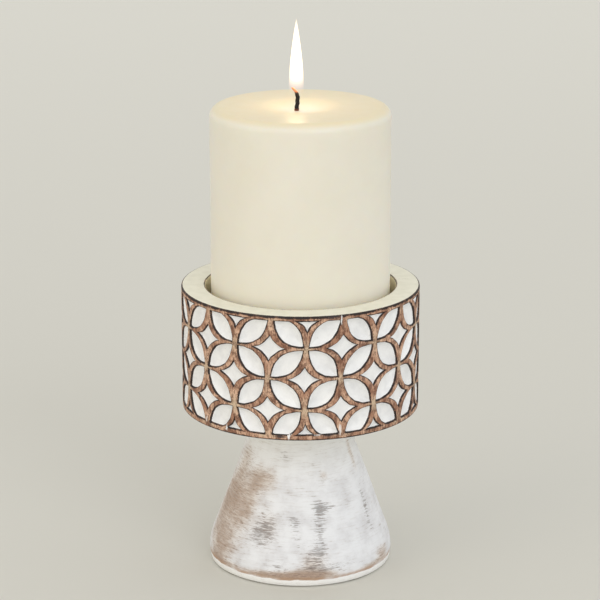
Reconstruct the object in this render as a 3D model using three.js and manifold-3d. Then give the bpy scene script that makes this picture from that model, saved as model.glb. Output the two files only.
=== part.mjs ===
// Turned and carved wooden candlestick with a pillar candle standing in its cup.
// Millimetres, +Z up. The origin is on the table, under the middle of the foot.
// The front of the carved collar faces -Y.
import * as THREE from 'three';
import { mergeVertices } from 'three/addons/utils/BufferGeometryUtils.js';
import Module from 'manifold-3d';

const wasm = await Module();
wasm.setup();

// Foot: a turned cone that stands on a low upright rim.
const FOOT_RADIUS = 39;
const FOOT_HEIGHT = 68.2;
const FOOT_RIM_HEIGHT = 3;
const FOOT_RIM_INSET = 1;
const FOOT_SHOULDER_RADIUS = 26;
const FOOT_NECK_RADIUS = 17.1;

// Tenon on top of the foot, and the mortise in the cup floor that takes it.
const TENON_RADIUS = 12;
const TENON_LENGTH = 12;
const TENON_CLEARANCE = 0.3;
const MORTISE_END_GAP = 1;

// Felt disc let into the underside of the foot.
const FELT_RADIUS = 30;
const FELT_THICKNESS = 1.6;
const FELT_PROUD = 0.5;
const FELT_CLEARANCE = 0.4;

// Wood screw and washer that pull the foot up into the cup floor.
const SCREW_SHANK_RADIUS = 2.4;
const SCREW_HEAD_RADIUS = 5;
const SCREW_HEAD_HEIGHT = 3.2;
const SCREW_COVER = 2.5;
const SCREW_POINT_LENGTH = 5;
const SCREW_CLEARANCE = 0.35;
const DRIVE_SLOT_LENGTH = 5.4;
const DRIVE_SLOT_WIDTH = 1.1;
const DRIVE_SLOT_DEPTH = 1.6;
const WASHER_RADIUS = 7;
const WASHER_THICKNESS = 1.2;
const COUNTERBORE_RADIUS = 8;
const COUNTERBORE_DEPTH = 30;

// Collar: the carved ring round the cup.
const COLLAR_RADIUS = 50;
const COLLAR_WALL = 10;
const COLLAR_HEIGHT = 52.6;
const COLLAR_EASE = 0.5;

// Cup: the room above the floor for the foot of the candle.
const CUP_DEPTH = 24.6;
const FLOOR_CLEARANCE = 0.3;

// Carved lattice: petals run from node to node, stars sit between the nodes.
const CELLS_AROUND = 10;
const LATTICE_ROWS = 4;
const LATTICE_DROP = 0.6;
const LATTICE_TURN = 2.7;
const LATTICE_DRIFT = 2;
const CARVE_DEPTH = 1.6;
const BAND_TOP = 2.1;
const BAND_BOTTOM = 2.4;
const PETAL_TIP_GAP = 2;
const PETAL_WIDTH = 7.2;
const STAR_HALF_WIDTH = 6.1;
const STAR_HALF_HEIGHT = 4.85;
const STAR_HOLLOW = 0.6;
const EDGE_STAR_HALF_WIDTH = 4.8;
const EDGE_STAR_HEIGHT = 4.5;

// Candle: a pillar of wax with a melted dish, a wick and its metal tab.
const CANDLE_RADIUS = 37.5;
const CANDLE_HEIGHT = 100;
const CANDLE_SHOULDER = 4;
const CANDLE_FOOT_EASE = 1;
const DISH_RADIUS = 20;
const DISH_DEPTH = 1.4;
const WICK_RADIUS = 0.8;
const WICK_OFFSET = -1.7;
const WICK_EXPOSED = 9;
const WICK_CURL = 1.9;
const WICK_CLEARANCE = 0.3;
const TAB_RADIUS = 9;
const TAB_THICKNESS = 0.5;
const TAB_NECK_HEIGHT = 3;
const TAB_NECK_WALL = 0.6;
const TAB_CLEARANCE = 0.4;

const SEAT_GAP = 0.3;
const ROUND_STEPS = 40;
const SMALL_STEPS = 20;
const WICK_STEPS = 30;
const WICK_SIDES = 8;
const CUT_OVERRUN = 1;

// Heights that follow from the sizes above.
const footBottom = FELT_PROUD;
const footTop = footBottom + FOOT_HEIGHT;
const collarBottom = footTop + SEAT_GAP;
const collarTop = collarBottom + COLLAR_HEIGHT;
const cupFloorTop = collarTop - CUP_DEPTH;
const collarBore = COLLAR_RADIUS - COLLAR_WALL;
const counterboreTop = footBottom + COUNTERBORE_DEPTH;
const feltRecessTop = footBottom + FELT_THICKNESS - FELT_PROUD + FELT_CLEARANCE;
const mortiseTop = footTop + TENON_LENGTH + MORTISE_END_GAP;
const screwTip = cupFloorTop - SCREW_COVER;
const candleBottom = cupFloorTop + SEAT_GAP;
const candleTop = candleBottom + CANDLE_HEIGHT;

function wood(color, roughness) {
  return new THREE.MeshStandardMaterial({ color, roughness, metalness: 0 });
}

function metal(color, roughness) {
  return new THREE.MeshStandardMaterial({ color, roughness, metalness: 1 });
}

function named(name, geometry, material) {
  const mesh = new THREE.Mesh(geometry, material);
  mesh.name = name;
  return mesh;
}

// A solid of revolution about Z, from [radius, height] points that run anticlockwise.
// A profile that doesn't start on the axis is closed on itself, as a ring.
function turned(points, steps = ROUND_STEPS) {
  const profile = points.map(([radius, height]) => new THREE.Vector2(radius, height));
  if (profile[0].x > 0) profile.push(profile[0].clone());
  return new THREE.LatheGeometry(profile, steps).rotateX(Math.PI / 2);
}

// Points along an arc about [centreR, centreZ], both ends included.
function arcPoints(centreR, centreZ, radius, from, to, steps) {
  return Array.from({ length: steps + 1 }, (_, i) => {
    const angle = from + (to - from) * (i / steps);
    return [centreR + radius * Math.cos(angle), centreZ + radius * Math.sin(angle)];
  });
}

function toSolid(geometry) {
  const bare = geometry.clone();
  bare.deleteAttribute('normal');
  bare.deleteAttribute('uv');
  const merged = mergeVertices(bare, 1e-4);
  return new wasm.Manifold(new wasm.Mesh({
    numProp: 3,
    vertProperties: new Float32Array(merged.attributes.position.array),
    triVerts: new Uint32Array(merged.index.array),
  }));
}

function toGeometry(solid) {
  const mesh = solid.getMesh();
  const geometry = new THREE.BufferGeometry();
  geometry.setAttribute('position', new THREE.BufferAttribute(mesh.vertProperties, 3));
  geometry.setIndex(new THREE.BufferAttribute(mesh.triVerts, 1));
  geometry.computeVertexNormals();
  return geometry;
}

// Foot -----------------------------------------------------------------------

// The flank runs straight from the neck until it meets the shoulder arc as a tangent.
function footFlank() {
  const centreR = FOOT_RADIUS - FOOT_SHOULDER_RADIUS;
  const centreZ = footBottom + FOOT_RIM_HEIGHT;
  const reachR = FOOT_NECK_RADIUS - centreR;
  const reachZ = footTop - centreZ;
  const reach = Math.hypot(reachR, reachZ);
  const tangent = Math.atan2(reachZ, reachR) - Math.acos(FOOT_SHOULDER_RADIUS / reach);
  return arcPoints(centreR, centreZ, FOOT_SHOULDER_RADIUS, 0, tangent, 4);
}

function footShape() {
  const recess = FELT_RADIUS + FELT_CLEARANCE;
  const screwHole = SCREW_SHANK_RADIUS + SCREW_CLEARANCE;
  return turned([
    [recess, feltRecessTop],
    [recess, footBottom],
    [FOOT_RADIUS - FOOT_RIM_INSET, footBottom],
    ...footFlank(),
    [FOOT_NECK_RADIUS, footTop],
    [TENON_RADIUS, footTop],
    [TENON_RADIUS, footTop + TENON_LENGTH],
    [screwHole, footTop + TENON_LENGTH],
    [screwHole, counterboreTop],
    [COUNTERBORE_RADIUS, counterboreTop],
    [COUNTERBORE_RADIUS, feltRecessTop],
  ]);
}

function feltShape() {
  return turned([[0, 0], [FELT_RADIUS, 0], [FELT_RADIUS, FELT_THICKNESS], [0, FELT_THICKNESS]]);
}

// Fasteners ------------------------------------------------------------------

function washerShape() {
  const top = counterboreTop - SEAT_GAP;
  const bottom = top - WASHER_THICKNESS;
  const hole = SCREW_SHANK_RADIUS + SCREW_CLEARANCE;
  return turned([[hole, bottom], [WASHER_RADIUS, bottom], [WASHER_RADIUS, top], [hole, top]], SMALL_STEPS);
}

function driveSlot(turn, headBottom) {
  const slot = new THREE.BoxGeometry(DRIVE_SLOT_LENGTH, DRIVE_SLOT_WIDTH, DRIVE_SLOT_DEPTH * 2);
  return toSolid(slot.rotateZ(turn).translate(0, 0, headBottom));
}

// Pan head at the bottom, point at the top.
function screwShape() {
  const headTop = counterboreTop - 2 * SEAT_GAP - WASHER_THICKNESS;
  const headBottom = headTop - SCREW_HEAD_HEIGHT;
  const blank = turned([
    [0, headBottom],
    [SCREW_HEAD_RADIUS * 0.6, headBottom],
    [SCREW_HEAD_RADIUS, headBottom + SCREW_HEAD_HEIGHT * 0.5],
    [SCREW_HEAD_RADIUS, headTop],
    [SCREW_SHANK_RADIUS, headTop],
    [SCREW_SHANK_RADIUS, screwTip - SCREW_POINT_LENGTH],
    [0, screwTip],
  ], SMALL_STEPS);
  const slotted = toSolid(blank)
    .subtract(driveSlot(Math.PI / 4, headBottom))
    .subtract(driveSlot(-Math.PI / 4, headBottom));
  return toGeometry(slotted);
}

// Cup ------------------------------------------------------------------------

function cupFloorShape() {
  const radius = collarBore - FLOOR_CLEARANCE;
  const mortise = TENON_RADIUS + TENON_CLEARANCE;
  const pilot = SCREW_SHANK_RADIUS + SCREW_CLEARANCE;
  const pilotTop = screwTip + SCREW_CLEARANCE;
  return turned([
    [0, pilotTop],
    [pilot, pilotTop],
    [pilot, mortiseTop],
    [mortise, mortiseTop],
    [mortise, collarBottom],
    [radius, collarBottom],
    [radius, cupFloorTop],
    [0, cupFloorTop],
  ]);
}

function collarBlank() {
  return turned([
    [collarBore, collarBottom],
    [COLLAR_RADIUS - COLLAR_EASE, collarBottom],
    [COLLAR_RADIUS, collarBottom + COLLAR_EASE],
    [COLLAR_RADIUS, collarTop - COLLAR_EASE],
    [COLLAR_RADIUS - COLLAR_EASE, collarTop],
    [collarBore + COLLAR_EASE, collarTop],
    [collarBore, collarTop - COLLAR_EASE],
  ]);
}

// Lattice --------------------------------------------------------------------

const halfCell = Math.PI * COLLAR_RADIUS / CELLS_AROUND;
const rowPitch = (COLLAR_HEIGHT - LATTICE_DROP) / LATTICE_ROWS;
const nodeReach = Math.hypot(halfCell, rowPitch);

// An arc between two flat points, bulging to its right by `bulge`; the end point is left out.
function bowed(from, to, bulge, steps) {
  const along = new THREE.Vector2().subVectors(to, from);
  const side = new THREE.Vector2(along.y, -along.x).normalize();
  return Array.from({ length: steps }, (_, i) => {
    const t = i / steps;
    const lift = bulge * 4 * t * (1 - t);
    return from.clone().addScaledVector(along, t).addScaledVector(side, lift);
  });
}

function petalOutline(lean) {
  const direction = new THREE.Vector2(halfCell * lean, rowPitch).normalize();
  const half = nodeReach / 2 - PETAL_TIP_GAP;
  const low = direction.clone().multiplyScalar(-half);
  const high = direction.clone().multiplyScalar(half);
  const bulge = PETAL_WIDTH / 2;
  return [...bowed(low, high, bulge, 4), ...bowed(high, low, bulge, 4)];
}

function starOutline() {
  const tips = [
    new THREE.Vector2(STAR_HALF_WIDTH, 0),
    new THREE.Vector2(0, STAR_HALF_HEIGHT),
    new THREE.Vector2(-STAR_HALF_WIDTH, 0),
    new THREE.Vector2(0, -STAR_HALF_HEIGHT),
  ];
  return tips.flatMap((tip, i) => bowed(tip, tips[(i + 1) % 4], -STAR_HOLLOW, 2));
}

// Half a star, with its flat side along the band at an edge of the collar; `up` is 1 or -1.
function halfStarOutline(up) {
  const right = new THREE.Vector2(EDGE_STAR_HALF_WIDTH, 0);
  const left = new THREE.Vector2(-EDGE_STAR_HALF_WIDTH, 0);
  const point = new THREE.Vector2(0, EDGE_STAR_HEIGHT * up);
  const bulge = -STAR_HOLLOW * up;
  return [...bowed(right, point, bulge, 2), ...bowed(point, left, bulge, 2), left];
}

// Keep the part of an outline that lies between two heights.
function clipped(outline, low, high) {
  const keepSide = (points, inside, limit) => points.flatMap((point, i) => {
    const next = points[(i + 1) % points.length];
    const kept = inside(point) ? [point] : [];
    if (inside(point) === inside(next)) return kept;
    const t = (limit - point.y) / (next.y - point.y);
    return [...kept, point.clone().lerp(next, t)];
  });
  const above = keepSide(outline, (point) => point.y >= low, low);
  return keepSide(above, (point) => point.y <= high, high);
}

// Wrap a flat cutter round the collar: x becomes the way round, y the height, z the depth.
// The pattern was marked out by hand, so its cells are a little tighter at the front.
function wrapped(flat, across) {
  const position = flat.attributes.position;
  for (let i = 0; i < position.count; i += 1) {
    const even = (across + position.getX(i)) / COLLAR_RADIUS;
    const drift = THREE.MathUtils.degToRad(LATTICE_DRIFT) * Math.sin(even);
    const angle = even - drift + THREE.MathUtils.degToRad(LATTICE_TURN);
    const radius = COLLAR_RADIUS - CARVE_DEPTH + position.getZ(i);
    position.setXYZ(i, radius * Math.sin(angle), -radius * Math.cos(angle), position.getY(i));
  }
  return flat;
}

function pocket(outline, across, height) {
  const shape = new THREE.Shape(outline);
  const depth = CARVE_DEPTH + CUT_OVERRUN;
  const flat = new THREE.ExtrudeGeometry(shape, { depth, bevelEnabled: false });
  return toSolid(wrapped(flat.translate(0, height, 0), across));
}

const bandLow = collarBottom + BAND_BOTTOM;
const bandHigh = collarTop - BAND_TOP;
const rowZero = collarTop - LATTICE_DROP;

function starPocket(row, across) {
  if (row === 0) return pocket(halfStarOutline(-1), across, bandHigh);
  if (row === LATTICE_ROWS) return pocket(halfStarOutline(1), across, bandLow);
  return pocket(starOutline(), across, rowZero - row * rowPitch);
}

// The petals of the first and last rows run into the bands, which cut their tips off flat.
function petalPocket(row, across, lean) {
  const height = rowZero - (row + 0.5) * rowPitch;
  return pocket(clipped(petalOutline(lean), bandLow - height, bandHigh - height), across, height);
}

function latticePockets() {
  const pockets = [];
  for (let row = 0; row <= LATTICE_ROWS; row += 1) {
    for (let column = 0; column < 2 * CELLS_AROUND; column += 1) {
      const across = column * halfCell;
      const isStar = (row + column) % 2 === 0;
      if (isStar) pockets.push(starPocket(row, across));
      if (row < LATTICE_ROWS) pockets.push(petalPocket(row, across + halfCell / 2, isStar ? 1 : -1));
    }
  }
  return pockets;
}

function collarShape() {
  return toGeometry(latticePockets().reduce((ring, cutter) => ring.subtract(cutter), toSolid(collarBlank())));
}

// Candle ---------------------------------------------------------------------

const tabSeat = TAB_THICKNESS + TAB_CLEARANCE;
const neckRadius = WICK_RADIUS + WICK_CLEARANCE + TAB_NECK_WALL;

function drill(radius, bottom, top) {
  const rod = turned([[0, bottom], [radius, bottom], [radius, top], [0, top]], SMALL_STEPS);
  return toSolid(rod.translate(WICK_OFFSET, 0, 0));
}

function waxShape() {
  const shoulderR = CANDLE_RADIUS - CANDLE_SHOULDER;
  const shoulderZ = candleTop - CANDLE_SHOULDER;
  const blank = turned([
    [0, candleBottom],
    [CANDLE_RADIUS - CANDLE_FOOT_EASE, candleBottom],
    [CANDLE_RADIUS, candleBottom + CANDLE_FOOT_EASE],
    ...arcPoints(shoulderR, shoulderZ, CANDLE_SHOULDER, 0, Math.PI / 2, 4),
    [DISH_RADIUS, candleTop],
    [DISH_RADIUS * 0.7, candleTop - DISH_DEPTH],
    [0, candleTop - DISH_DEPTH],
  ]);
  const low = candleBottom - CUT_OVERRUN;
  const neckTop = candleBottom + tabSeat + TAB_NECK_HEIGHT + TAB_CLEARANCE;
  const drilled = toSolid(blank)
    .subtract(drill(WICK_RADIUS + WICK_CLEARANCE, low, candleTop + CUT_OVERRUN))
    .subtract(drill(neckRadius + TAB_CLEARANCE, low, neckTop))
    .subtract(drill(TAB_RADIUS + TAB_CLEARANCE, low, candleBottom + tabSeat));
  return toGeometry(drilled);
}

function tabShape() {
  const bottom = candleBottom;
  const plate = bottom + TAB_THICKNESS;
  const inner = WICK_RADIUS + WICK_CLEARANCE;
  const ring = turned([
    [inner, bottom],
    [TAB_RADIUS, bottom],
    [TAB_RADIUS, plate],
    [neckRadius, plate],
    [neckRadius, plate + TAB_NECK_HEIGHT],
    [inner, plate + TAB_NECK_HEIGHT],
  ], SMALL_STEPS);
  return ring.translate(WICK_OFFSET, 0, 0);
}

// The burnt tip leans over to the left, away from the bore's line.
function wickShape() {
  const surface = candleTop - DISH_DEPTH;
  const path = new THREE.CatmullRomCurve3([
    new THREE.Vector3(WICK_OFFSET, 0, candleBottom + SEAT_GAP),
    new THREE.Vector3(WICK_OFFSET, 0, (candleBottom + surface) / 2),
    new THREE.Vector3(WICK_OFFSET, 0, surface),
    new THREE.Vector3(WICK_OFFSET + WICK_CURL * 0.15, 0, surface + WICK_EXPOSED * 0.55),
    new THREE.Vector3(WICK_OFFSET - WICK_CURL, 0, surface + WICK_EXPOSED),
  ]);
  const corners = arcPoints(0, 0, WICK_RADIUS, 0, 2 * Math.PI, WICK_SIDES).slice(0, WICK_SIDES);
  const section = new THREE.Shape(corners.map(([x, y]) => new THREE.Vector2(x, y)));
  return new THREE.ExtrudeGeometry(section, { steps: WICK_STEPS, extrudePath: path, bevelEnabled: false });
}

// Assembly -------------------------------------------------------------------

const holder = new THREE.Group();
holder.add(
  named('foot', footShape(), wood('#d9d3c6', 0.7)),
  named('foot_felt', feltShape(), wood('#3b3a38', 0.95)),
  named('screw_washer', washerShape(), metal('#a9a79f', 0.4)),
  named('assembly_screw', screwShape(), metal('#b8a36a', 0.35)),
  named('cup_floor', cupFloorShape(), wood('#dcd8c6', 0.7)),
  named('carved_collar', collarShape(), wood('#a97d5c', 0.75)),
);

const candle = new THREE.Group();
candle.add(
  named('candle_wax', waxShape(), wood('#e8e0c2', 0.5)),
  named('wick', wickShape(), wood('#2a211a', 0.9)),
  named('wick_tab', tabShape(), metal('#b9bbbc', 0.4)),
);

const candlestick = new THREE.Group();
candlestick.add(holder, candle);

export default candlestick;
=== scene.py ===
import math
import random
import bmesh
import bpy
from mathutils import Matrix, Vector, noise


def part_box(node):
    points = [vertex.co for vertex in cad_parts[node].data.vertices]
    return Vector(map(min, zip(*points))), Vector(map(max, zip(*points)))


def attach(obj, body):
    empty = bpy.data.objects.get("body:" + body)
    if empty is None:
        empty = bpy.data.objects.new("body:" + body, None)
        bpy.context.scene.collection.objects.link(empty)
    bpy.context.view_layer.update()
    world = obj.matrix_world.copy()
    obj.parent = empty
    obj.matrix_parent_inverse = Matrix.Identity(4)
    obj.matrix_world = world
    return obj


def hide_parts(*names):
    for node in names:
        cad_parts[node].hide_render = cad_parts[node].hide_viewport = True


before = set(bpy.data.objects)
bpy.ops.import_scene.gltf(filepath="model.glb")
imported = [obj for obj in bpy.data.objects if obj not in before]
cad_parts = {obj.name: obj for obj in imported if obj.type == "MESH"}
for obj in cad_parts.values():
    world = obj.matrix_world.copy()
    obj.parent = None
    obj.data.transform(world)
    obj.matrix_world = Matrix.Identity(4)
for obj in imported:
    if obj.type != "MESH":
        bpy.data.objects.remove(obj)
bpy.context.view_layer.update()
scene = bpy.context.scene
millimetre = 0.001
gluedGap = 0.3  # millimetres left between faces that are glued together
print("frame loaded:", ", ".join(sorted(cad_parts)))


def nodeHeights(name):  # lowest and highest point of a frame node, in millimetres
    low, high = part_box(name)
    return low[2] / millimetre, high[2] / millimetre


# small helpers for materials

def newMaterial(name):
    material = bpy.data.materials.new(name)
    material.use_nodes = True
    return material, material.node_tree, material.node_tree.nodes["Principled BSDF"]


def addNode(tree, kind, inputs=None, **settings):
    made = tree.nodes.new(kind)
    for key, value in settings.items():
        setattr(made, key, value)
    for key, value in (inputs or {}).items():
        if isinstance(value, bpy.types.NodeSocket):
            tree.links.new(value, made.inputs[key])
        else:
            made.inputs[key].default_value = value
    return made


def objectPlace(tree, stretch=(1, 1, 1), turn=(0, 0, 0), shift=(0, 0, 0)):
    place = addNode(tree, "ShaderNodeTexCoord").outputs["Object"]
    mapping = addNode(tree, "ShaderNodeMapping", {"Vector": place, "Scale": stretch, "Rotation": turn,
                                                  "Location": shift})
    return mapping.outputs["Vector"]


def heightOf(tree, place):
    return addNode(tree, "ShaderNodeSeparateXYZ", {"Vector": place}).outputs["Z"]


def lengthOf(tree, place):
    return addNode(tree, "ShaderNodeVectorMath", {0: place}, operation="LENGTH").outputs["Value"]


def speckle(tree, place, size, detail=3, roughness=0.5, twist=0.0):
    # noise whose blotches are about size millimetres across
    made = addNode(tree, "ShaderNodeTexNoise", {"Vector": place, "Scale": 1 / (size * millimetre),
                                                "Detail": detail, "Roughness": roughness, "Distortion": twist})
    return made.outputs["Fac"]


def remap(tree, value, low, high, newLow=0.0, newHigh=1.0):
    ends = {"From Min": low, "From Max": high, "To Min": newLow, "To Max": newHigh}
    made = addNode(tree, "ShaderNodeMapRange", {"Value": value, **ends}, interpolation_type="SMOOTHSTEP")
    return made.outputs["Result"]


def calc(tree, operation, first, second=0.0, clamp=False):
    made = addNode(tree, "ShaderNodeMath", {0: first, 1: second}, operation=operation, use_clamp=clamp)
    return made.outputs["Value"]


def mixColour(tree, amount, first, second):
    made = addNode(tree, "ShaderNodeMix", data_type="RGBA")
    for index, value in ((0, amount), (6, first), (7, second)):
        if isinstance(value, bpy.types.NodeSocket):
            tree.links.new(value, made.inputs[index])
        else:
            made.inputs[index].default_value = value
    return made.outputs[2]


def vertexValue(tree, name):
    return addNode(tree, "ShaderNodeAttribute", attribute_name=name).outputs["Fac"]


def bumpy(tree, height, strength, distance):
    inputs = {"Height": height, "Strength": strength, "Distance": distance * millimetre}
    return addNode(tree, "ShaderNodeBump", inputs).outputs["Normal"]


def tint(red, green, blue):  # a colour written as screen values from 0 to 255
    def toLinear(value):
        value /= 255
        return value / 12.92 if value <= 0.04045 else ((value + 0.055) / 1.055) ** 2.4
    return (toLinear(red), toLinear(green), toLinear(blue), 1.0)


# small helpers for meshes

def newObject(name, shape, material):
    mesh = bpy.data.meshes.new(name)
    shape.to_mesh(mesh)
    shape.free()
    mesh.materials.append(material)
    made = bpy.data.objects.new(name, mesh)
    scene.collection.objects.link(made)
    return made


def finishPiece(name, shape, body, slot, material, *nodes):  # the shape comes in millimetres
    bmesh.ops.scale(shape, vec=(millimetre,) * 3, verts=shape.verts)
    bmesh.ops.remove_doubles(shape, verts=shape.verts, dist=1e-7)
    bmesh.ops.recalc_face_normals(shape, faces=shape.faces)
    piece = newObject(name, shape, material)
    piece.data.shade_smooth()
    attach(piece, body)
    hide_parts(*nodes)
    print("made", name, "with", len(piece.data.polygons), "faces")


def spunProfile(points, steps, closed):  # a profile of (radius, height) turned once about the vertical axis
    shape = bmesh.new()
    corners = [shape.verts.new((radius, 0, height)) for radius, height in points]
    lines = [shape.edges.new(pair) for pair in zip(corners, corners[1:])]
    if closed:
        lines.append(shape.edges.new((corners[-1], corners[0])))
    bmesh.ops.spin(shape, geom=corners + lines, cent=(0, 0, 0), axis=(0, 0, 1), angle=2 * math.pi,
                   steps=steps, use_merge=True, use_duplicate=False)
    bmesh.ops.remove_doubles(shape, verts=shape.verts, dist=1e-4)
    return shape


def bearing(place):  # degrees round the axis from the front, rising to the right
    return math.degrees(math.atan2(place.x, -place.y))


# camera, floor and light

camera = {"back": 0.999, "height": 0.4063, "tiltDown": 16.306, "lens": 148.58, "shiftX": -0.0008,
          "sensor": 36, "nearest": 0.01, "farthest": 50}
# the floor grows paler between two distances behind the object, in metres: painted light, brighter towards the
# back
floorLook = {"half": 6.0, "near": tint(216, 214, 207), "far": tint(238, 236, 229), "fade": (-0.2, 1.8)}
lampTarget = Vector((0, 0, 0.12))
lamps = {
    "window": {"place": (1.0, -1.9, 1.3), "size": 1.4, "watts": 12.5, "colour": (0.95, 0.97, 1.0)},
    "room": {"place": (-1.7, -1.2, 0.8), "size": 1.5, "watts": 7, "colour": (1.0, 0.88, 0.68)},
    "ceiling": {"place": (0.2, 0.4, 2.3), "size": 1.8, "watts": 2.5, "colour": (1.0, 0.99, 0.97)},
}
airLight = {"colour": tint(238, 238, 234), "strength": 0.87}


def makeCamera():
    data = bpy.data.cameras.new("camera")
    data.sensor_width = camera["sensor"]
    data.lens = camera["lens"]
    data.shift_x = camera["shiftX"]
    data.clip_start = camera["nearest"]
    data.clip_end = camera["farthest"]
    eye = bpy.data.objects.new("camera", data)
    eye.location = (0, -camera["back"], camera["height"])
    eye.rotation_euler = (math.radians(90 - camera["tiltDown"]), 0, 0)
    scene.collection.objects.link(eye)
    scene.camera = eye


def makeFloor():
    material, tree, skin = newMaterial("paleFloor")
    back = addNode(tree, "ShaderNodeSeparateXYZ", {"Vector": objectPlace(tree)}).outputs["Y"]
    # painted light: the floor is painted paler towards the back
    colour = mixColour(tree, remap(tree, back, *floorLook["fade"]), floorLook["near"], floorLook["far"])
    tree.links.new(colour, skin.inputs["Base Color"])
    skin.inputs["Roughness"].default_value = 0.8
    shape = bmesh.new()
    bmesh.ops.create_grid(shape, x_segments=8, y_segments=8, size=floorLook["half"])
    floor = newObject("floor", shape, material)


def makeLamps():
    for name, lamp in lamps.items():
        data = bpy.data.lights.new(name, "AREA")
        data.shape = "SQUARE"
        data.size = lamp["size"]
        data.energy = lamp["watts"]
        data.color = lamp["colour"]
        made = bpy.data.objects.new(name, data)
        made.location = lamp["place"]
        made.rotation_euler = (lampTarget - made.location).to_track_quat("-Z", "Y").to_euler()
        scene.collection.objects.link(made)
    world = bpy.data.worlds.new("air")
    world.use_nodes = True
    background = world.node_tree.nodes["Background"]
    background.inputs["Color"].default_value = airLight["colour"]
    background.inputs["Strength"].default_value = airLight["strength"]
    scene.world = world


makeCamera()
makeFloor()
makeLamps()
scene.view_settings.view_transform = "Standard"
print("camera, floor and light set")


# foot: a turned cone on a low rim, whitewashed and rubbed back to the wood

footBottom, footTop = nodeHeights("foot")
footNeckTop = nodeHeights("carved_collar")[0] - gluedGap
foot = {
    "radius": 39.0, "rimHeight": 3.2, "rimInset": 0.5, "shoulder": 26.0, "neck": 17.1,
    "tenon": 12.0, "felt": (30.4, 1.5), "counterbore": (8.0, 30.0), "screwHole": 2.75,
    "steps": 160, "arcRows": 14, "flankRows": 60, "toolMark": 0.05, "uneven": 0.25,
    # places rubbed back to brown wood: bearing, height, half width in degrees, half height in mm, strength
    "worn": [
        (-64, 31, 18, 10, 0.9), (-45, 36, 9, 8, 0.6), (-30, 42, 9, 5, 0.75), (-42, 42, 7, 4, 0.6),
        (-62, 11, 13, 7, 1.0), (-66, 34, 26, 26, 0.38), (-80, 24, 14, 16, 0.7), (-50, 24, 14, 8, 0.4),
        (-24, 24, 8, 8, 0.45), (2, 5.2, 19, 2.0, 2.3), (-22, 4.8, 14, 1.3, 1.2), (9, 10, 9, 5, 0.8),
        (63, 50, 4, 7, 0.8), (64, 7.4, 8, 3, 0.9), (56, 4.8, 16, 1.0, 0.9), (-58, 4.8, 16, 1.2, 1.1),
        (22, 44.5, 4, 2, 0.6), (-66, 46, 12, 6, 0.4), (120, 30, 16, 12, 0.8), (168, 44, 20, 9, 0.7),
        (-122, 22, 18, 12, 0.8), (-160, 9, 18, 5, 0.7), (-100, 46, 9, 8, 0.6),
    ],
    # places where the wash has gone grey and thin, written the same way
    "grey": [
        (-24, 23, 9, 7, 0.6), (-31, 20, 8, 5, 0.5), (15.4, 32.2, 7, 2.8, 1.0), (25, 31.5, 8, 1.6, 0.7),
        (13.7, 24, 4.5, 8, 0.8), (10, 13, 7, 6, 0.9), (59, 28, 3, 9, 0.8), (-4.7, 26, 4, 3.4, 0.7),
        (-18, 52.8, 5, 2.4, 0.5), (20, 8, 18, 1.8, 0.7), (-2, 21, 4, 5, 0.5), (21, 44, 3.4, 4, 0.45),
        (-14, 8, 6, 3.5, 0.6), (140, 18, 8, 10, 0.8), (-142, 42, 9, 9, 0.8), (95, 52, 8, 6, 0.6),
    ],
}


def footProfile():
    # the flank runs straight from the neck to where it meets the shoulder's arc
    centre = Vector((foot["radius"] - foot["shoulder"], footBottom + foot["rimHeight"]))
    reach = Vector((foot["neck"], footNeckTop)) - centre
    tangent = math.atan2(reach.y, reach.x) - math.acos(foot["shoulder"] / reach.length)
    feltRadius, feltDepth = foot["felt"]
    boreRadius, boreDepth = foot["counterbore"]
    outer, rimTop = foot["radius"], footBottom + foot["rimHeight"]
    points = [(boreRadius, footBottom + feltDepth), (feltRadius, footBottom + feltDepth)]
    points += [(feltRadius, footBottom + 0.2), (feltRadius + 0.3, footBottom)]
    points += [(outer - foot["rimInset"] - 0.5, footBottom), (outer - foot["rimInset"], footBottom + 0.4)]
    points += [(outer - 0.35, footBottom + foot["rimHeight"] * 0.55), (outer - 0.15, rimTop - 0.35)]
    points += [(outer - 0.32, rimTop)]
    for step in range(1, foot["arcRows"] + 1):
        angle = tangent * step / foot["arcRows"]
        across, up = foot["shoulder"] * math.cos(angle), foot["shoulder"] * math.sin(angle)
        points.append((centre.x + across, centre.y + up))
    start = Vector(points[-1])
    end = Vector((foot["neck"], footNeckTop))
    for row in range(1, foot["flankRows"] + 1):
        spot = start.lerp(end, row / foot["flankRows"])
        points.append((spot.x, spot.y))
    points += [(foot["tenon"], footNeckTop), (foot["tenon"], footTop - 0.5), (foot["tenon"] - 0.5, footTop)]
    points += [(foot["screwHole"], footTop), (foot["screwHole"], footBottom + boreDepth)]
    points += [(boreRadius, footBottom + boreDepth)]
    return points


def patchAmount(place, patches):
    total = 0.0
    for turn, height, halfTurn, halfHeight, strength in patches:
        away = (bearing(place) - turn + 180) % 360 - 180
        total += strength * math.exp(-((away / halfTurn) ** 2) - ((place.z - height) / halfHeight) ** 2)
    return total


def makeFoot():
    shape = spunProfile(footProfile(), foot["steps"], closed=True)
    wornLayer = shape.verts.layers.float.new("worn")
    greyLayer = shape.verts.layers.float.new("grey")
    for corner in shape.verts:
        place = corner.co.copy()
        corner[wornLayer] = patchAmount(place, foot["worn"])
        corner[greyLayer] = patchAmount(place, foot["grey"])
        onFlank = footBottom + 0.4 < place.z < footNeckTop - 0.1
        if onFlank and math.hypot(place.x, place.y) > foot["tenon"] + 1:
            # shallow rings from the turning tool, and a slightly uneven flank
            ring = math.sin(place.z * 2.1 + 0.7 * math.sin(place.z * 0.83)) * foot["toolMark"]
            soft = noise.noise(place * 0.045) * foot["uneven"]
            corner.co = place + Vector((place.x, place.y, 0)).normalized() * (ring + soft)
    finishPiece("turnedFoot", shape, "holder", "washed_wood", whitewash(), "foot")


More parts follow.
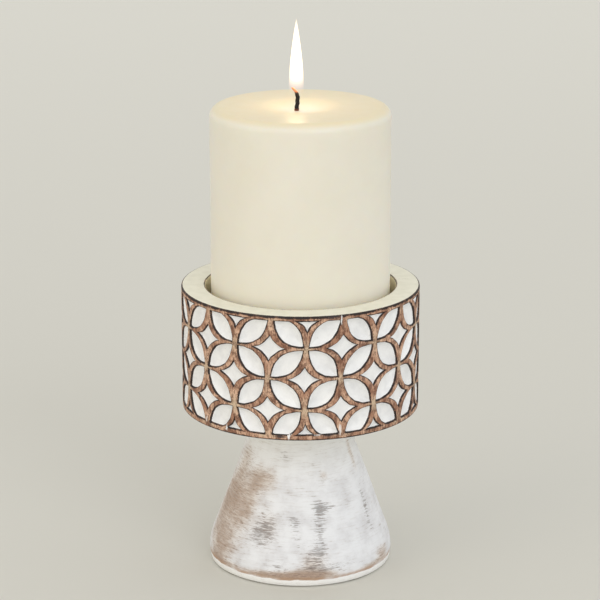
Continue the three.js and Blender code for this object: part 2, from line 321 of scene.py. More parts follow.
def whitewash():
    material, tree, skin = newMaterial("whitewashedFoot")
    place = objectPlace(tree)
    around = objectPlace(tree, stretch=(1, 1, 11))
    height = heightOf(tree, place)
    strokes = speckle(tree, around, 6.5, 6, 0.62)  # brush strokes that run round the cone
    fine = speckle(tree, objectPlace(tree, stretch=(1, 1, 8)), 2.4, 4, 0.65)
    cloud = speckle(tree, place, 8, 4, 0.6)
    paint = mixColour(tree, remap(tree, cloud, 0.35, 0.7), tint(243, 244, 249), tint(226, 226, 231))
    # painted light: the wash grows paler towards the neck to cancel the shade the collar casts there
    paintedTopLight = remap(tree, height, (footBottom + 36) * millimetre, footNeckTop * millimetre, 0.0, 0.8)
    paint = mixColour(tree, paintedTopLight, paint, tint(254, 254, 255))
    paint = mixColour(tree, remap(tree, strokes, 0.5, 0.7, 0, 0.3), paint, tint(208, 204, 204))
    veil = calc(tree, "ADD", vertexValue(tree, "worn"), calc(tree, "MULTIPLY", cloud, 0.5))
    paint = mixColour(tree, remap(tree, veil, 0.25, 1.4, 0.0, 0.5), paint, tint(204, 180, 154))
    timber = mixColour(tree, remap(tree, fine, 0.35, 0.65), tint(118, 82, 62), tint(200, 170, 146))
    soot = mixColour(tree, remap(tree, fine, 0.35, 0.65), tint(70, 64, 64), tint(142, 134, 132))

    def broken(name, low, high, share):  # a worn place breaks up along the strokes
        edge = calc(tree, "ADD", calc(tree, "MULTIPLY", strokes, 2.4), calc(tree, "MULTIPLY", cloud, 1.6))
        edge = calc(tree, "ADD", edge, calc(tree, "MULTIPLY", fine, 2.2))
        return remap(tree, calc(tree, "ADD", vertexValue(tree, name), edge), low, high, 0.0, share)

    brownShare = broken("worn", 3.3, 4.9, 0.75)
    greyShare = broken("grey", 3.55, 4.15, 0.62)
    flank = mixColour(tree, brownShare, paint, timber)
    flank = mixColour(tree, greyShare, flank, soot)
    # thin dark scratches where the wash is thin
    thin = calc(tree, "ADD", vertexValue(tree, "worn"), vertexValue(tree, "grey"), clamp=True)
    scratch = calc(tree, "MULTIPLY", remap(tree, thin, 0.12, 0.8), remap(tree, fine, 0.54, 0.64, 0.0, 0.6))
    flank = mixColour(tree, scratch, flank, tint(116, 94, 84))
    # a sanded line of bare wood stands over the white rim
    line = calc(tree, "ADD", height, calc(tree, "MULTIPLY", speckle(tree, place, 7, 4), 0.0016))
    edge = (footBottom + foot["rimHeight"] + 0.5) * millimetre
    above = remap(tree, line, edge - 0.0003, edge + 0.0001)
    below = remap(tree, line, edge + 0.0004, edge + 0.0018, 1.0, 0.0)
    bare = calc(tree, "MULTIPLY", above, below)
    bare = calc(tree, "MULTIPLY", bare, remap(tree, speckle(tree, place, 9, 4), 0.35, 0.6, 0.2, 0.85))
    colour = mixColour(tree, bare, flank, tint(186, 150, 122))
    # the rim band is really white paint; it is painted at full white, brighter than the wash above, to cancel
    # the shade the floor throws on it
    white = mixColour(tree, remap(tree, fine, 0.5, 0.7), tint(255, 255, 255), tint(240, 236, 234))
    colour = mixColour(tree, remap(tree, line, edge - 0.0004, edge, 1.0, 0.0), colour, white)
    tree.links.new(colour, skin.inputs["Base Color"])
    tree.links.new(remap(tree, strokes, 0.3, 0.7, 0.46, 0.7), skin.inputs["Roughness"])
    relief = calc(tree, "ADD", calc(tree, "MULTIPLY", strokes, 0.8), calc(tree, "MULTIPLY", fine, 0.5))
    relief = calc(tree, "SUBTRACT", relief, calc(tree, "MULTIPLY", brownShare, 0.35))
    tree.links.new(bumpy(tree, relief, 0.5, 0.22), skin.inputs["Normal"])
    return material


makeFoot()


# collar: a ring carved with a lattice of petals and stars

collarLow, collarHigh = nodeHeights("carved_collar")
collar = {
    "radius": 50.0, "wall": 10.0, "columns": 20, "rows": 4, "rowPitch": 13.0, "rowDrop": 0.6,
    "turn": 2.7, "drift": 2.0, "sway": (0.7, -0.1, -1.0, -0.6, -0.3, -0.3),
    "bandTop": 2.1, "bandBottom": 2.4, "borderTop": 1.1, "borderBottom": 0.8,
    "petalGap": 1.5, "petalWidth": 8.15, "petalSteeper": 1.07, "leastRib": 0.44,
    "starWidth": 14.0, "starHeight": 10.8, "starHollow": 0.95,
    "halfStarTop": (9.4, 4.9), "halfStarBottom": (8.7, 4.7), "halfStarMiddle": 1.45,
    "pocketCorners": 48, "ringCorners": 240, "washerRadius": 100,
    # how far a pocket may stray: place in mm, lean in degrees, share of its size, depth in mm
    "nudge": (0.16, 0.12), "leanSpread": 1.2, "sizeSpread": (0.975, 1.02), "depthSpread": 0.12,
    "wobble": 0.2, "chip": 0.07, "uneven": 0.06, "seed": 11,
    # each step of the carving: inset from the outline, depth, burnt, painted
    "petalCut": [
        (-0.46, 0.0, 0.0, 0.0), (-0.3, 0.03, 0.72, 0.0), (-0.06, 0.18, 1.0, 0.0), (0.12, 0.62, 1.0, 0.0),
        (0.24, 0.9, 0.6, 1.0), (0.85, 1.5, 0.0, 1.0), (1.7, 2.15, 0.0, 1.0), (3.0, 2.45, 0.0, 1.0),
    ],
    "starCut": [
        (-0.52, 0.0, 0.0, 0.0), (-0.34, 0.03, 0.8, 0.0), (-0.06, 0.16, 1.0, 0.0), (0.14, 0.52, 1.0, 0.0),
        (0.22, 0.72, 0.6, 1.0), (0.6, 0.9, 0.0, 1.0), (1.4, 1.0, 0.0, 1.0), (2.5, 1.04, 0.0, 1.0),
    ],
    # paint that ran over the ribs: bearing, height, half width, half height in mm, share
    "spills": [
        (-37.2, 71.2, 0.5, 1.4, 0.9), (-5.4, 71.2, 0.55, 1.6, 0.95), (-4.4, 72.2, 0.35, 0.8, 0.7),
        (18.8, 73.0, 0.6, 2.4, 0.6), (-50.7, 72.4, 0.45, 1.5, 0.7), (19.3, 119.6, 0.3, 2.1, 0.95),
        (8.0, 71.4, 1.6, 0.35, 0.55), (84, 118.6, 0.4, 2.0, 0.8), (150, 71.2, 0.6, 1.6, 0.9),
        (-118, 72.0, 0.5, 2.2, 0.8), (-160, 96.0, 0.6, 1.4, 0.6),
    ],
    # darker scorched stretches of the bands, written the same way
    "scorches": [
        (15.6, 120.9, 3.6, 0.9, 0.9), (-12.0, 121.2, 14.0, 0.45, 0.6), (-9.5, 70.6, 2.6, 0.5, 0.9),
        (13.0, 70.9, 2.2, 0.4, 0.8), (100, 120.8, 8.0, 0.8, 0.8), (-140, 120.9, 9.0, 0.7, 0.8),
    ],
}
# a crack in the top face: turn in degrees, the rest in mm, each end from where it starts to where it is full
crack = {"turn": -8, "wander": 0.6, "halfWidth": (0.06, 0.2),
         "innerEnd": (39.8, 40.5), "outerEnd": (46.5, 44.0)}
halfCell = math.pi * collar["radius"] * 2 / collar["columns"]
petalReach = math.hypot(halfCell, collar["rowPitch"]) / 2 - collar["petalGap"]
latticeTop = collarHigh - collar["rowDrop"]
lowLine, highLine = collarLow + collar["bandBottom"], collarHigh - collar["bandTop"]


def cutOf(pocket):
    return collar["petalCut" if pocket["kind"] == "petal" else "starCut"]


def layOutPockets():
    # petals run from node to node, and a star sits in each space between them
    dice = random.Random(collar["seed"])
    noise.seed_set(collar["seed"])  # otherwise noise_vector starts from the clock
    pockets = []
    for row in range(collar["rows"] + 1):
        for column in range(collar["columns"]):
            across, height = column * halfCell, latticeTop - row * collar["rowPitch"]
            starHere = (row + column) % 2 == 0
            if starHere and 0 < row < collar["rows"]:
                half = (collar["starWidth"] / 2, collar["starHeight"] / 2)
                pockets.append({"kind": "star", "across": across, "height": height, "lean": 0.0,
                                "half": half})
            elif starHere:
                width, tall = collar["halfStarBottom" if row else "halfStarTop"]
                pockets.append({"kind": "halfStar", "across": across, "height": lowLine if row else highLine,
                                "lean": 0.0, "half": (width / 2, tall), "pointed": 1 if row else -1})
            if row < collar["rows"]:
                rise = collar["rowPitch"] * collar["petalSteeper"]
                pockets.append({"kind": "petal", "across": across + halfCell / 2,
                                "height": latticeTop - (row + 0.5) * collar["rowPitch"],
                                "lean": math.atan2(rise, halfCell if starHere else -halfCell),
                                "half": (petalReach, collar["petalWidth"] / 2)})
    side, up = collar["nudge"]
    for pocket in pockets:
        pocket["nudge"] = Vector((dice.uniform(-side, side), dice.uniform(-up, up)))
        pocket["lean"] += math.radians(dice.uniform(-collar["leanSpread"], collar["leanSpread"]))
        pocket["size"] = dice.uniform(*collar["sizeSpread"])
        pocket["deeper"] = dice.uniform(-collar["depthSpread"], collar["depthSpread"])
        pocket["key"] = dice.uniform(0, 400)
    return pockets


def pocketOutline(pocket, unit, inset):
    # a point of a unit circle becomes a point of the pocket's outline, flat, about its centre
    longHalf, shortHalf = pocket["half"]
    turn = math.atan2(unit.y, unit.x)
    if pocket["kind"] == "petal":
        along = 1 - 2 * abs(turn) / math.pi
        tip = math.atan2(2 * shortHalf, longHalf)
        longScale = 1 - inset / (longHalf * math.sin(tip))
        shortScale = 1 - inset / shortHalf
        side = math.copysign(shortHalf * (1 - along * along), turn)
        return Vector((longHalf * along * longScale, side * shortScale))
    along = abs(turn) / (math.pi / 2)
    along = 2 - along if along > 1 else along
    spot = Vector((longHalf * (1 - along), shortHalf * along))
    spot -= Vector((shortHalf, longHalf)).normalized() * collar["starHollow"] * 4 * along * (1 - along)
    if pocket["kind"] == "star":
        spot *= 1 - inset / (longHalf * math.sin(math.atan2(shortHalf, longHalf)))
        return Vector((math.copysign(spot.x, unit.x), math.copysign(spot.y, turn)))
    # half a star has one flat side, along the band at the edge of the collar
    pointed = pocket["pointed"]
    if turn * pointed < 0:
        spot = Vector((longHalf * (1 - along), 0))
    spot = Vector((math.copysign(spot.x, unit.x), spot.y * pointed))
    middle = Vector((0, collar["halfStarMiddle"] * pointed))
    if inset >= 0.5:  # the deeper steps close in more slowly
        inset = 0.4 + (inset - 0.5) * 0.35
    return middle + (spot - middle) * (1 - inset / collar["halfStarMiddle"])


def pocketSpot(pocket, unit, step):
    # where a corner of the pocket lies at one step of the carving: across, height, depth
    inset, depth = cutOf(pocket)[step][:2]
    flat = pocketOutline(pocket, unit, inset) * pocket["size"]
    flat.rotate(Matrix.Rotation(pocket["lean"], 2))
    spot = Vector((pocket["across"], pocket["height"])) + flat + pocket["nudge"]
    rough = noise.noise_vector(Vector((unit.x * 2.2, unit.y * 2.2, pocket["key"]))) * collar["wobble"]
    rough *= 0.6 if pocket["kind"] == "halfStar" else 1.0
    chipPlace = Vector((unit.x * 5, unit.y * 5, pocket["key"] + 9 * min(step, 3)))
    chipped = noise.noise_vector(chipPlace) * collar["chip"]
    spot += (rough + chipped).xy
    if pocket["kind"] == "petal":
        # a petal keeps to its own cell and off the plain bands, so no two outlines meet
        middle = Vector((pocket["across"], pocket["height"]))
        away, rib = spot - middle, collar["leastRib"] / 2
        upward = min(collar["rowPitch"] / 2 - rib, highLine - inset - middle.y)
        downward = min(collar["rowPitch"] / 2 - rib, middle.y - lowLine - inset)
        room = max(1.0, abs(away.x) / (halfCell / 2 - rib), away.y / upward, -away.y / downward)
        spot = middle + away / room
    if step > 3:
        gouge = noise.noise(Vector((spot.x * 0.4, spot.y * 0.4, pocket["key"])))
        depth += pocket["deeper"] + gouge * collar["depthSpread"]
    return spot.x, spot.y, depth


def wrapRound(across, height, depth):
    # the lattice was marked out by eye, so its cells are tighter at the front
    # and each row of crossings stands a little to one side
    row = min(max((latticeTop - height) / collar["rowPitch"], 0), collar["rows"])
    whole = int(row)
    before, after = collar["sway"][whole:whole + 2]
    even = (across + before + (after - before) * (row - whole)) / collar["radius"]
    angle = even - math.radians(collar["drift"]) * math.sin(even) + math.radians(collar["turn"])
    radius = collar["radius"] - depth
    return Vector((radius * math.sin(angle), -radius * math.cos(angle), height))


def flatRing(across, height):
    # the collar's side laid out as a flat washer, so that its web can be filled in one go
    angle = across / collar["radius"]
    radius = collar["washerRadius"] + height - collarLow
    return Vector((radius * math.cos(angle), radius * math.sin(angle), 0))


def makeCollar():
    pockets = layOutPockets()
    shape = bmesh.new()
    burntLayer = shape.verts.layers.float.new("burnt")
    paintedLayer = shape.verts.layers.float.new("painted")
    rubbedLayer = shape.verts.layers.float.new("rubbed")
    pocketLayer = shape.verts.layers.int.new("pocket")
    unitLayer = shape.verts.layers.float_vector.new("unit")
    acrossLayer = shape.verts.layers.float.new("across")

    # outlines of the pockets and the two borders, on the flat washer
    for index, pocket in enumerate(pockets):
        corners = bmesh.ops.create_circle(shape, segments=collar["pocketCorners"], radius=1)["verts"]
        for corner in corners:
            corner[pocketLayer] = index
            corner[unitLayer] = corner.co.copy()
            if pocket["kind"] == "petal":  # the crossings of the ribs are rubbed pale
                corner[rubbedLayer] = max(0.0, 1 - abs(corner.co.y) * 2.2)
            corner.co = flatRing(*pocketSpot(pocket, corner.co, 0)[:2])
    borders = {-1: collarHigh - collar["borderTop"], -2: collarLow + collar["borderBottom"]}
    for index, height in borders.items():
        corners = bmesh.ops.create_circle(shape, segments=collar["ringCorners"], radius=1)["verts"]
        for corner in corners:
            corner[pocketLayer] = index
            corner[acrossLayer] = (math.atan2(corner.co.y, corner.co.x) % (2 * math.pi)) * collar["radius"]
            corner.co = flatRing(corner[acrossLayer], height)
    outlines = list(shape.edges)
    bmesh.ops.triangle_fill(shape, use_beauty=True, use_dissolve=False, edges=outlines)

    # from the flat washer to the round ring
    for corner in shape.verts:
        index = corner[pocketLayer]
        if index < 0:
            corner.co = wrapRound(corner[acrossLayer], borders[index], 0)
        else:
            corner.co = wrapRound(*pocketSpot(pockets[index], corner[unitLayer], 0))

    # carve all pockets together, one step after another
    edges = [edge for edge in outlines if edge.verts[0][pocketLayer] >= 0]
    for step in range(1, len(collar["petalCut"])):
        grown = bmesh.ops.extrude_edge_only(shape, edges=edges)["geom"]
        edges = [part for part in grown if isinstance(part, bmesh.types.BMEdge)]
        for corner in [part for part in grown if isinstance(part, bmesh.types.BMVert)]:
            pocket = pockets[corner[pocketLayer]]
            corner.co = wrapRound(*pocketSpot(pocket, corner[unitLayer], step))
            corner[burntLayer], corner[paintedLayer] = cutOf(pocket)[step][2:]
    bmesh.ops.edgeloop_fill(shape, edges=edges)

    # over the top arris, across the painted face, down the bore and under: radius, height, burnt, painted
    outer, inner = collar["radius"], collar["radius"] - collar["wall"]
    turnOver = [
        (outer, collarHigh - 0.85, 0.55, 0.0), (outer - 0.04, collarHigh - 0.5, 1.0, 0.0),
        (outer - 0.12, collarHigh - 0.22, 1.0, 0.0), (outer - 0.32, collarHigh - 0.06, 1.0, 0.0),
        (outer - 0.62, collarHigh, 0.8, 0.7), (outer - 1.1, collarHigh, 0.0, 1.0),
        (outer - 5.0, collarHigh, 0.0, 1.0), (inner + 0.9, collarHigh, 0.0, 1.0),
        (inner + 0.5, collarHigh, 0.55, 0.5), (inner + 0.2, collarHigh - 0.12, 0.9, 0.3),
        (inner, collarHigh - 0.45, 0.4, 0.8), (inner, collarHigh - 1.5, 0.0, 1.0),
        (inner, collarLow + 0.5, 0.0, 1.0), (inner + 0.4, collarLow, 0.0, 1.0),
        (outer - 0.9, collarLow, 0.0, 1.0), (outer - 0.35, collarLow + 0.05, 0.8, 0.3),
        (outer - 0.1, collarLow + 0.25, 1.0, 0.0),
    ]
    edges = [edge for edge in outlines if edge.verts[0][pocketLayer] == -1]
    lastEdges = [edge for edge in outlines if edge.verts[0][pocketLayer] == -2]
    for radius, height, burnt, painted in turnOver:
        grown = bmesh.ops.extrude_edge_only(shape, edges=edges)["geom"]
        edges = [part for part in grown if isinstance(part, bmesh.types.BMEdge)]
        for corner in [part for part in grown if isinstance(part, bmesh.types.BMVert)]:
            corner.co = wrapRound(corner[acrossLayer], height, outer - radius)
            around = corner.co.normalized()
            uneven = noise.noise(around * 9 + Vector((0, 0, height))) * collar["uneven"]
            corner.co += Vector((around.x, around.y, 0)) * uneven
            corner[burntLayer] = burnt
            corner[paintedLayer] = painted
    bmesh.ops.bridge_loops(shape, edges=edges + lastEdges)
    finishPiece("carvedCollar", shape, "holder", "carved_wood", carvedWood(), "carved_collar")


def spotMask(tree, spot, grain):  # a soft upright spot on the collar's side, with a ragged edge
    turn, height, halfWidth, halfHeight, share = spot
    angle = math.radians(turn)
    reach = collar["radius"]
    middle = Vector((math.sin(angle) * reach, -math.cos(angle) * reach, height)) * millimetre
    size = Vector((halfWidth, halfWidth, halfHeight)) * millimetre
    stretch = [1 / side for side in size]
    shift = [-place / side for place, side in zip(middle, size)]
    away = lengthOf(tree, objectPlace(tree, stretch=stretch, shift=shift))
    ragged = calc(tree, "ADD", away, remap(tree, grain, 0.3, 0.7, -0.45, 0.45))
    return remap(tree, ragged, 0.65, 1.15, share, 0.0)


def scorchedTimber(tree, place, grain, crumbs, edgeWander):  # ribs and bands, burnt along every edge
    figure = speckle(tree, objectPlace(tree, stretch=(1, 1, 0.3)), 1.5, 4, 0.6)
    patch = speckle(tree, place, 5.0, 3)
    wood = mixColour(tree, remap(tree, patch, 0.36, 0.62), tint(176, 130, 104), tint(226, 186, 158))
    wood = mixColour(tree, remap(tree, figure, 0.52, 0.62, 0, 0.8), wood, tint(118, 76, 58))
    rubbed = calc(tree, "MULTIPLY", vertexValue(tree, "rubbed"), remap(tree, patch, 0.3, 0.6, 0.6, 1.0))
    wood = mixColour(tree, rubbed, wood, tint(214, 190, 162))
    wood = mixColour(tree, remap(tree, grain, 0.52, 0.62, 0.0, 0.8), wood, tint(104, 66, 50))
    burnt = calc(tree, "ADD", vertexValue(tree, "burnt"), remap(tree, crumbs, 0.3, 0.7, -0.3, 0.25))
    burnt = calc(tree, "ADD", burnt, remap(tree, edgeWander, 0.35, 0.65, -0.25, 0.5))
    wood = mixColour(tree, remap(tree, burnt, 0.05, 0.5, 0.0, 0.7), wood, tint(112, 72, 52))
    wood = mixColour(tree, remap(tree, burnt, 0.45, 0.9), wood, tint(42, 28, 26))
    for spot in collar["scorches"]:
        ticks = remap(tree, grain, 0.36, 0.5, 0.35, 1.0)
        ticks = calc(tree, "MULTIPLY", spotMask(tree, spot, grain), ticks)
        wood = mixColour(tree, ticks, wood, tint(44, 38, 44))
    return wood


def collarPaint(tree, place, cloud, crumbs, edgeWander):  # white pockets, with warm bounce light painted onto the top face and bore as cream
    paint = mixColour(tree, remap(tree, cloud, 0.35, 0.7), tint(254, 254, 255), tint(243, 243, 245))
    paint = mixColour(tree, remap(tree, crumbs, 0.56, 0.75, 0, 0.35), paint, tint(206, 201, 193))
    # painted light: the top face is tinted cream for the warm light the candle throws onto it
    paintedBounceCream = mixColour(tree, remap(tree, cloud, 0.35, 0.7), tint(243, 240, 224), tint(236, 233, 216))
    side, face = (collarHigh - 0.5) * millimetre, (collarHigh - 0.2) * millimetre
    paint = mixColour(tree, remap(tree, heightOf(tree, place), side, face), paint, paintedBounceCream)
    # painted light: the bore is tinted cream for the warm light from the wax, where it would otherwise sit in
    # grey shade
    bore = (collar["radius"] - collar["wall"]) * millimetre
    radius = lengthOf(tree, objectPlace(tree, stretch=(1, 1, 0)))
    paintedBoreLight = remap(tree, radius, bore + 0.0002, bore + 0.0008, 1.0, 0.0)
    paint = mixColour(tree, paintedBoreLight, paint, tint(248, 238, 206))
    # a hairline crack runs across the top face from the bore
    turned = objectPlace(tree, turn=(0, 0, math.radians(crack["turn"])))
    along = addNode(tree, "ShaderNodeSeparateXYZ", {"Vector": turned})
    wander = crack["wander"] * millimetre
    bend = remap(tree, edgeWander, 0.3, 0.7, -wander, wander)
    away = calc(tree, "ABSOLUTE", calc(tree, "ADD", along.outputs["Y"], bend))
    thin, wide = (width * millimetre for width in crack["halfWidth"])
    opened = remap(tree, away, thin, wide, 0.6, 0.0)
    for start, full in (crack["outerEnd"], crack["innerEnd"]):
        ended = remap(tree, along.outputs["X"], start * millimetre, full * millimetre)
        opened = calc(tree, "MULTIPLY", opened, ended)
    return mixColour(tree, opened, paint, tint(120, 104, 84))


def carvedWood():
    material, tree, skin = newMaterial("carvedLattice")
    place = objectPlace(tree)
    grain = speckle(tree, objectPlace(tree, stretch=(1, 1, 0.2)), 0.42, 4, 0.65)  # short upright ticks
    crumbs = speckle(tree, place, 0.55, 4, 0.75)
    edgeWander = speckle(tree, place, 2.6, 3, 0.6)
    cloud = speckle(tree, place, 4.5, 3)
    painted = calc(tree, "ADD", vertexValue(tree, "painted"), remap(tree, crumbs, 0.3, 0.7, -0.22, 0.22))
    painted = remap(tree, painted, 0.42, 0.62)
    for spot in collar["spills"]:
        painted = calc(tree, "MAXIMUM", painted, spotMask(tree, spot, grain))
    wood = scorchedTimber(tree, place, grain, crumbs, edgeWander)
    paint = collarPaint(tree, place, cloud, crumbs, edgeWander)
    tree.links.new(mixColour(tree, painted, wood, paint), skin.inputs["Base Color"])
    tree.links.new(remap(tree, painted, 0.3, 0.7, 0.66, 0.5), skin.inputs["Roughness"])
    relief = calc(tree, "MULTIPLY", grain, remap(tree, painted, 0.3, 0.7, 1.0, 0.15))
    relief = calc(tree, "ADD", relief, calc(tree, "MULTIPLY", cloud, 0.5))
    tree.links.new(bumpy(tree, relief, 0.4, 0.18), skin.inputs["Normal"])
    return material


makeCollar()


# candle: a pillar of wax with a melted dish

waxLow, waxHigh = nodeHeights("candle_wax")
candle = {
    "radius": 37.5, "shoulder": 4.2, "footEase": 1.2, "dishRadius": 17.0, "dishDepth": 2.1,
    "tabRecess": (12.0, 0.8), "wickSide": -1.7, "uneven": 0.12,
    "steps": 128, "sideRows": 24, "shoulderRows": 12, "topRows": 24,
}
poolHeight = waxHigh - candle["dishDepth"]  # where the wick leaves the wax


def makeCandle():
    outer, ease = candle["radius"], candle["shoulder"]
    recessRadius, recessDepth = candle["tabRecess"]
    points = [(0, waxLow + recessDepth), (recessRadius, waxLow + recessDepth), (recessRadius + 0.3, waxLow)]
    points += [(outer - candle["footEase"], waxLow), (outer - 0.3, waxLow + 0.35)]
    points += [(outer, waxLow + candle["footEase"])]
    for row in range(1, candle["sideRows"]):
        points.append((outer, waxLow + (waxHigh - ease - waxLow) * row / candle["sideRows"]))
    for step in range(candle["shoulderRows"] + 1):
        angle = math.radians(90 * step / candle["shoulderRows"])
        points.append((outer - ease + ease * math.cos(angle), waxHigh - ease + ease * math.sin(angle)))
    for step in range(1, candle["topRows"] + 1):
        radius = (outer - ease) * (1 - step / candle["topRows"])
        dip = 0.5 + 0.5 * math.cos(math.pi * min(1.0, radius / candle["dishRadius"]))
        points.append((radius, waxHigh - candle["dishDepth"] * dip ** 0.8))
    shape = spunProfile(points, candle["steps"], closed=False)
    for corner in shape.verts:
        place = corner.co
        outward = Vector((place.x, place.y, 0))
        if outward.length > 1 and place.z > waxLow + 2:
            corner.co = place + outward.normalized() * noise.noise(place * 0.03) * candle["uneven"]
    finishPiece("pillarCandle", shape, "candle", "wax", candleWax(), "candle_wax")


def candleWax():
    material, tree, skin = newMaterial("ivoryWax")
    place = objectPlace(tree)
    cloud = speckle(tree, place, 34, 3)
    mottle = speckle(tree, place, 6, 4, 0.6)
    colour = mixColour(tree, remap(tree, cloud, 0.3, 0.7), tint(241, 236, 224), tint(238, 233, 219))
    colour = mixColour(tree, remap(tree, mottle, 0.4, 0.7, 0, 0.2), colour, tint(244, 240, 226))
    # the top face is a warmer ivory than the sides
    warm = remap(tree, heightOf(tree, place), (waxHigh - 2.6) * millimetre, (waxHigh - 0.2) * millimetre)
    colour = mixColour(tree, calc(tree, "MULTIPLY", warm, 0.85), colour, tint(236, 222, 188))
    tree.links.new(colour, skin.inputs["Base Color"])
    tree.links.new(remap(tree, mottle, 0.3, 0.7, 0.34, 0.46), skin.inputs["Roughness"])
    skin.inputs["Subsurface Weight"].default_value = 0.35
    skin.inputs["Subsurface Radius"].default_value = (1.0, 0.75, 0.45)
    skin.inputs["Subsurface Scale"].default_value = 0.006
    skin.inputs["IOR"].default_value = 1.43
    # a painted glow: emission round the wick stands in for the flame's light shining through the melted pool
    shift = (-candle["wickSide"] * millimetre, 0, -(waxHigh - 1) * millimetre)
    away = lengthOf(tree, objectPlace(tree, stretch=(1, 1, 0.7), shift=shift))
    glow = remap(tree, away, 0.003, 0.03, 1.0, 0.0)
    tree.links.new(calc(tree, "MULTIPLY", glow, 0.05), skin.inputs["Emission Strength"])
    skin.inputs["Emission Color"].default_value = tint(255, 226, 176)
    tree.links.new(bumpy(tree, mottle, 0.12, 0.4), skin.inputs["Normal"])
    return material


makeCandle()


# wick: braided cotton, charred at the top, leaning to the left

wick = {
    "radius": 0.86, "flare": 1.0, "rows": 46, "corners": 14, "exposed": 9.6, "start": 1.2,
    "bow": 0.5, "curl": 1.7, "curlFrom": 0.64, "taper": 0.32, "taperFrom": 0.66,
}


def wickSpot(height):
    above = (height - poolHeight) / wick["exposed"]
    curled = max(0, above - wick["curlFrom"]) / (1 - wick["curlFrom"])
    lean = wick["bow"] * math.sin(math.pi * 0.95 * max(above, 0)) - wick["curl"] * curled ** 1.7
    return Vector((candle["wickSide"] + lean, 0.12 * math.sin(above * 5), height))


def makeWick():
    shape = bmesh.new()
    burntLayer = shape.verts.layers.float.new("burnt")
    first, last = poolHeight - 0.5, poolHeight + wick["exposed"]
    heights = [waxLow + wick["start"], poolHeight - 1.5]
    heights += [first + (last - first) * row / wick["rows"] for row in range(wick["rows"] + 1)]
    bmesh.ops.create_circle(shape, cap_ends=True, segments=wick["corners"], radius=1)
    face = shape.faces[:][0]
    for row, height in enumerate(heights):
        if row:
            face = bmesh.ops.extrude_discrete_faces(shape, faces=[face])["faces"][0]
        above = (height - poolHeight) / wick["exposed"]
        radius = wick["radius"] + (wick["flare"] - wick["radius"]) * math.exp(-max(0, above) * 9)
        radius *= 1 - wick["taper"] * max(0, above - wick["taperFrom"]) / (1 - wick["taperFrom"])
        middle = wickSpot(height)
        for index, corner in enumerate(face.verts):
            angle = 2 * math.pi * index / wick["corners"]
            strand = 1 + 0.06 * math.cos(3 * angle + height * 2.6) + 0.04 * math.cos(3 * angle - height * 2.6)
            if above > 0.1:
                strand += 0.09 * noise.noise(Vector((math.cos(angle), math.sin(angle), height * 1.4)))
            corner.co = middle + Vector((math.cos(angle), math.sin(angle), 0)) * radius * strand
            corner[burntLayer] = above
    finishPiece("cottonWick", shape, "candle", "wick_cotton", wickCotton(), "wick")


def wickCotton():
    material, tree, skin = newMaterial("charredCotton")
    fibre = speckle(tree, objectPlace(tree, stretch=(1, 1, 0.4)), 0.35, 4, 0.7)
    burnt = vertexValue(tree, "burnt")
    colour = mixColour(tree, remap(tree, fibre, 0.35, 0.7), tint(14, 11, 10), tint(44, 36, 32))
    colour = mixColour(tree, remap(tree, burnt, 0.02, 0.13, 1.0, 0.0), colour, tint(120, 66, 46))
    colour = mixColour(tree, remap(tree, burnt, -0.1, 0.0, 1.0, 0.0), colour, tint(226, 216, 190))
    colour = mixColour(tree, remap(tree, burnt, 0.76, 0.86), colour, tint(216, 140, 98))
    tree.links.new(colour, skin.inputs["Base Color"])
    skin.inputs["Roughness"].default_value = 0.92
    ember = calc(tree, "MULTIPLY", remap(tree, burnt, 0.76, 0.88), remap(tree, fibre, 0.3, 0.6, 0.04, 0.12))
    tree.links.new(ember, skin.inputs["Emission Strength"])
    skin.inputs["Emission Color"].default_value = tint(255, 150, 84)
    tree.links.new(bumpy(tree, fibre, 0.7, 0.2), skin.inputs["Normal"])
    return material


makeWick()


# flame and its light: part of the stage, though they move with the candle

flame = {
    "length": 35.6, "width": 6.3, "widest": 0.19, "foot": 2.9, "blunt": 0.75, "steps": 48, "rows": 40,
    "brightness": 1100.0,
    "glowWatts": 0.004, "glowColour": (1.0, 0.72, 0.42), "glowSize": 0.004, "glowHeight": 11,
}


def makeFlame():
    base = poolHeight + flame["foot"]
    points = []
    for row in range(flame["rows"] + 1):
        part = row / flame["rows"]
        if part < flame["widest"]:
            swell = math.sin(math.pi / 2 * part / flame["widest"])
            radius = flame["blunt"] + (1 - flame["blunt"]) * swell if part else 0.0
        else:
            fall = (part - flame["widest"]) / (1 - flame["widest"])
            radius = (1 - fall ** 1.5) ** 0.95
        points.append((max(0.0, radius) * flame["width"] / 2, base + flame["length"] * part))
    shape = spunProfile(points, flame["steps"], closed=False)
    bmesh.ops.translate(shape, vec=(candle["wickSide"], 0, 0), verts=shape.verts)
    bmesh.ops.scale(shape, vec=(millimetre,) * 3, verts=shape.verts)
    bmesh.ops.recalc_face_normals(shape, faces=shape.faces)
    made = newObject("flame", shape, burningGas(base))
    made.data.shade_smooth()
    made.visible_shadow = False
    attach(made, "candle")
    data = bpy.data.lights.new("flameLight", "POINT")
    data.energy = flame["glowWatts"]
    data.color = flame["glowColour"]
    data.shadow_soft_size = flame["glowSize"]
    light = bpy.data.objects.new("flameLight", data)
    light.location = (candle["wickSide"] * millimetre, 0, (base + flame["glowHeight"]) * millimetre)
    scene.collection.objects.link(light)
    light.parent = made
    print("made the flame and its light")


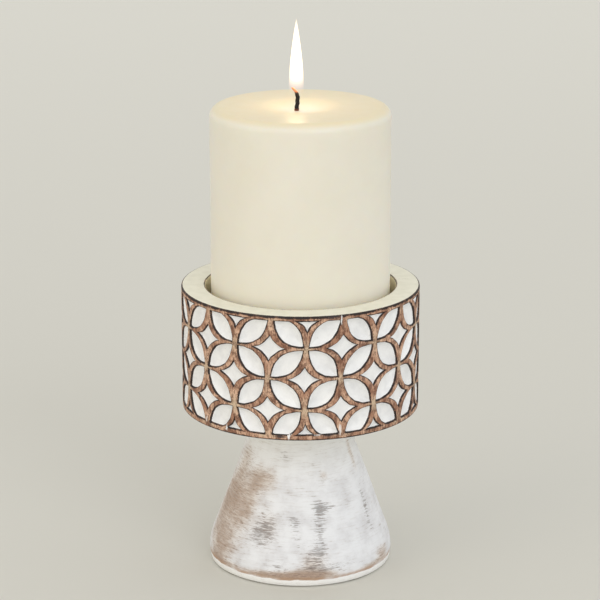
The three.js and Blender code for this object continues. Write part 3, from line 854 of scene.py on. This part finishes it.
def burningGas(base):
    material = bpy.data.materials.new("burningGas")
    material.use_nodes = True
    tree = material.node_tree
    tree.nodes.clear()
    height = heightOf(tree, objectPlace(tree))
    part = remap(tree, height, base * millimetre, (base + flame["length"]) * millimetre)
    strength = calc(tree, "POWER", remap(tree, part, 0.0, 0.55), 1.4)
    strength = calc(tree, "MULTIPLY", strength, flame["brightness"])
    colour = mixColour(tree, remap(tree, part, 0.05, 0.3), (1.0, 0.6, 0.46, 1), (1.0, 0.74, 0.46, 1))
    glow = addNode(tree, "ShaderNodeEmission", {"Color": colour, "Strength": strength})
    clear = addNode(tree, "ShaderNodeBsdfTransparent")
    output = addNode(tree, "ShaderNodeOutputMaterial")
    tree.links.new(clear.outputs["BSDF"], output.inputs["Surface"])
    tree.links.new(glow.outputs["Emission"], output.inputs["Volume"])
    return material


makeFlame()


# the pieces that keep their frame mesh get their own finishes

def giveFinish(nodeName, material):
    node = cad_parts[nodeName]
    node.data.materials.clear()
    node.data.materials.append(material)


def paintedFloor():
    material, tree, skin = newMaterial("paintedCupFloor")
    place = objectPlace(tree)
    cloud = speckle(tree, place, 9, 4)
    crumbs = speckle(tree, place, 0.8, 4, 0.7)
    colour = mixColour(tree, remap(tree, cloud, 0.35, 0.7), tint(232, 228, 208), tint(216, 211, 190))
    colour = mixColour(tree, remap(tree, crumbs, 0.58, 0.72, 0, 0.5), colour, tint(178, 160, 132))
    tree.links.new(colour, skin.inputs["Base Color"])
    tree.links.new(remap(tree, cloud, 0.3, 0.7, 0.5, 0.68), skin.inputs["Roughness"])
    tree.links.new(bumpy(tree, crumbs, 0.3, 0.15), skin.inputs["Normal"])
    return material


def pressedFelt():
    material, tree, skin = newMaterial("pressedFelt")
    place = objectPlace(tree)
    fluff = speckle(tree, place, 0.7, 6, 0.75, 1.2)
    cloud = speckle(tree, place, 7, 3)
    colour = mixColour(tree, remap(tree, fluff, 0.3, 0.7), tint(44, 43, 41), tint(86, 84, 80))
    colour = mixColour(tree, remap(tree, cloud, 0.4, 0.7, 0, 0.4), colour, tint(60, 56, 50))
    tree.links.new(colour, skin.inputs["Base Color"])
    skin.inputs["Roughness"].default_value = 0.97
    skin.inputs["Sheen Weight"].default_value = 0.4
    tree.links.new(bumpy(tree, fluff, 0.9, 0.3), skin.inputs["Normal"])
    return material


def platedSteel(name, bright, dull, size):
    material, tree, skin = newMaterial(name)
    brushed = speckle(tree, objectPlace(tree, stretch=(1, 1, 6)), size, 4, 0.6)
    spots = speckle(tree, objectPlace(tree), 2.2, 3)
    colour = mixColour(tree, remap(tree, spots, 0.35, 0.68), bright, dull)
    tree.links.new(colour, skin.inputs["Base Color"])
    tree.links.new(remap(tree, brushed, 0.3, 0.7, 0.28, 0.5), skin.inputs["Roughness"])
    skin.inputs["Metallic"].default_value = 1.0
    tree.links.new(bumpy(tree, brushed, 0.25, 0.05), skin.inputs["Normal"])
    return material


screwSteel = platedSteel("zincPlating", tint(196, 182, 142), tint(150, 140, 116), 0.5)
giveFinish("cup_floor", paintedFloor())
giveFinish("foot_felt", pressedFelt())
giveFinish("assembly_screw", screwSteel)
giveFinish("screw_washer", screwSteel)
giveFinish("wick_tab", platedSteel("tinPlate", tint(190, 192, 194), tint(150, 152, 156), 0.7))
print("finishes given to the frame's own pieces")
